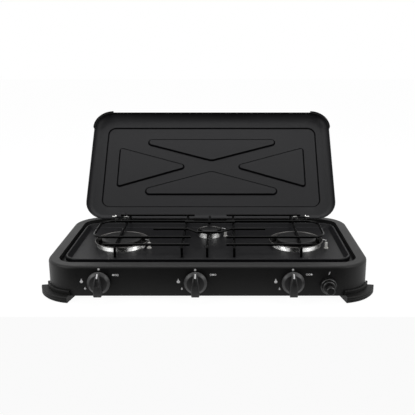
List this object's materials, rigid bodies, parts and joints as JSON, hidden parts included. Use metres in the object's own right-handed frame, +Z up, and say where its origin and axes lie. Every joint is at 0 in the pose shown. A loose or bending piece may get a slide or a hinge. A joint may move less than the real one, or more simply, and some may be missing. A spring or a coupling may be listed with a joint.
{
  "type": "table-top gas stove",
  "caption": "Table-top gas stove with a hinged lid, burners under a wire pan support, front control knobs, push igniter, rubber corner feet and a rear gas inlet.",
  "frame": {"origin": "on the surface that the feet stand on, under the middle of the casing", "axes": "+X to the user's right, +Y from the front panel to the back, +Z up"},
  "size_m": [0.585, 0.4957, 0.2696],
  "materials": {
    "lid_coat": "satin powder coat",
    "body_coat": "satin powder coat",
    "tray_enamel": "gloss enamel",
    "foot_rubber": "matte",
    "cap_rubber": "matte",
    "wire_enamel": "gloss enamel",
    "cup_steel": "brushed",
    "burner_metal": "satin",
    "cap_enamel": "satin enamel",
    "tap_brass": "satin",
    "tap_aluminium": "satin",
    "steel": "satin",
    "zinc": "zinc plated",
    "knob_plastic": "fine texture",
    "igniter_plastic": "satin",
    "ceramic": "glazed ceramic",
    "lead_sleeve": "matte silicone"
  },
  "bodies": {
    "stove": {"casing": "body_coat", "hob_tray": "tray_enamel", "foot_front_left": "foot_rubber", "foot_front_right": "foot_rubber", "foot_back_right": "foot_rubber", "foot_back_left": "foot_rubber", "foot_screws": "zinc", "tap_nuts": "zinc", "gas_manifold": "steel", "gas_inlet": "tap_brass", "igniter_body": "igniter_plastic", "igniter_collar": "igniter_plastic", "hinge_pin_left": "zinc", "hinge_pin_right": "zinc", "hinge_bracket_left": "zinc", "hinge_bracket_right": "zinc", "burner_cup_left": "cup_steel", "burner_cup_centre": "cup_steel", "burner_cup_right": "cup_steel", "burner_head_left": "burner_metal", "burner_head_centre": "burner_metal", "burner_head_right": "burner_metal", "burner_cap_left": "cap_enamel", "burner_cap_centre": "cap_enamel", "burner_cap_right": "cap_enamel", "mixing_tube_left": "tap_aluminium", "mixing_tube_centre": "tap_aluminium", "mixing_tube_right": "tap_aluminium", "tap_body_left": "tap_aluminium", "tap_body_centre": "tap_aluminium", "tap_body_right": "tap_aluminium", "injector_left": "tap_brass", "injector_centre": "tap_brass", "injector_right": "tap_brass", "electrode_left": "ceramic", "electrode_centre": "ceramic", "electrode_right": "ceramic", "electrode_tip_left": "steel", "electrode_tip_centre": "steel", "electrode_tip_right": "steel", "ignition_lead_left": "lead_sleeve", "ignition_lead_centre": "lead_sleeve", "ignition_lead_right": "lead_sleeve"},
    "lid": {"lid_panel": "lid_coat", "lid_cap_left": "cap_rubber", "lid_cap_right": "cap_rubber", "hinge_leaf_left": "zinc", "hinge_leaf_right": "zinc"},
    "pan_support": {"pan_support": "wire_enamel"},
    "igniter_button": {"igniter_button": "igniter_plastic"},
    "plug_left": {"tap_plug_left": "tap_brass"},
    "knob_left": {"spindle_left": "steel", "knob_left": "knob_plastic"},
    "plug_centre": {"tap_plug_centre": "tap_brass"},
    "knob_centre": {"spindle_centre": "steel", "knob_centre": "knob_plastic"},
    "plug_right": {"tap_plug_right": "tap_brass"},
    "knob_right": {"spindle_right": "steel", "knob_right": "knob_plastic"}
  },
  "joints": [
    {"name": "lid_hinge", "type": "hinge", "parent": "stove", "child": "lid", "pos_m": [0, 0.1337, 0.0666], "axis": [-1, 0, 0], "range_deg": [-131.4, 0]},
    {"name": "pan_support_lift", "type": "slide", "parent": "stove", "child": "pan_support", "axis": [0, 0, 1], "range_m": [0, 0.05]},
    {"name": "igniter_push", "type": "slide", "parent": "stove", "child": "igniter_button", "axis": [0, 1, 0], "range_m": [0, 0.008], "stiffness_N_per_m": 1000},
    {"name": "tap_turn_left", "type": "hinge", "parent": "stove", "child": "plug_left", "pos_m": [-0.182, -0.14, 0.0335], "axis": [0, -1, 0], "range_deg": [0, 105]},
    {"name": "knob_push_left", "type": "slide", "parent": "plug_left", "child": "knob_left", "axis": [0, 1, 0], "range_m": [0, 0.003], "stiffness_N_per_m": 1500},
    {"name": "tap_turn_centre", "type": "hinge", "parent": "stove", "child": "plug_centre", "pos_m": [-0.019, -0.14, 0.0335], "axis": [0, -1, 0], "range_deg": [0, 105]},
    {"name": "knob_push_centre", "type": "slide", "parent": "plug_centre", "child": "knob_centre", "axis": [0, 1, 0], "range_m": [0, 0.003], "stiffness_N_per_m": 1500},
    {"name": "tap_turn_right", "type": "hinge", "parent": "stove", "child": "plug_right", "pos_m": [0.145, -0.14, 0.0335], "axis": [0, -1, 0], "range_deg": [0, 105]},
    {"name": "knob_push_right", "type": "slide", "parent": "plug_right", "child": "knob_right", "axis": [0, 1, 0], "range_m": [0, 0.003], "stiffness_N_per_m": 1500}
  ]
}
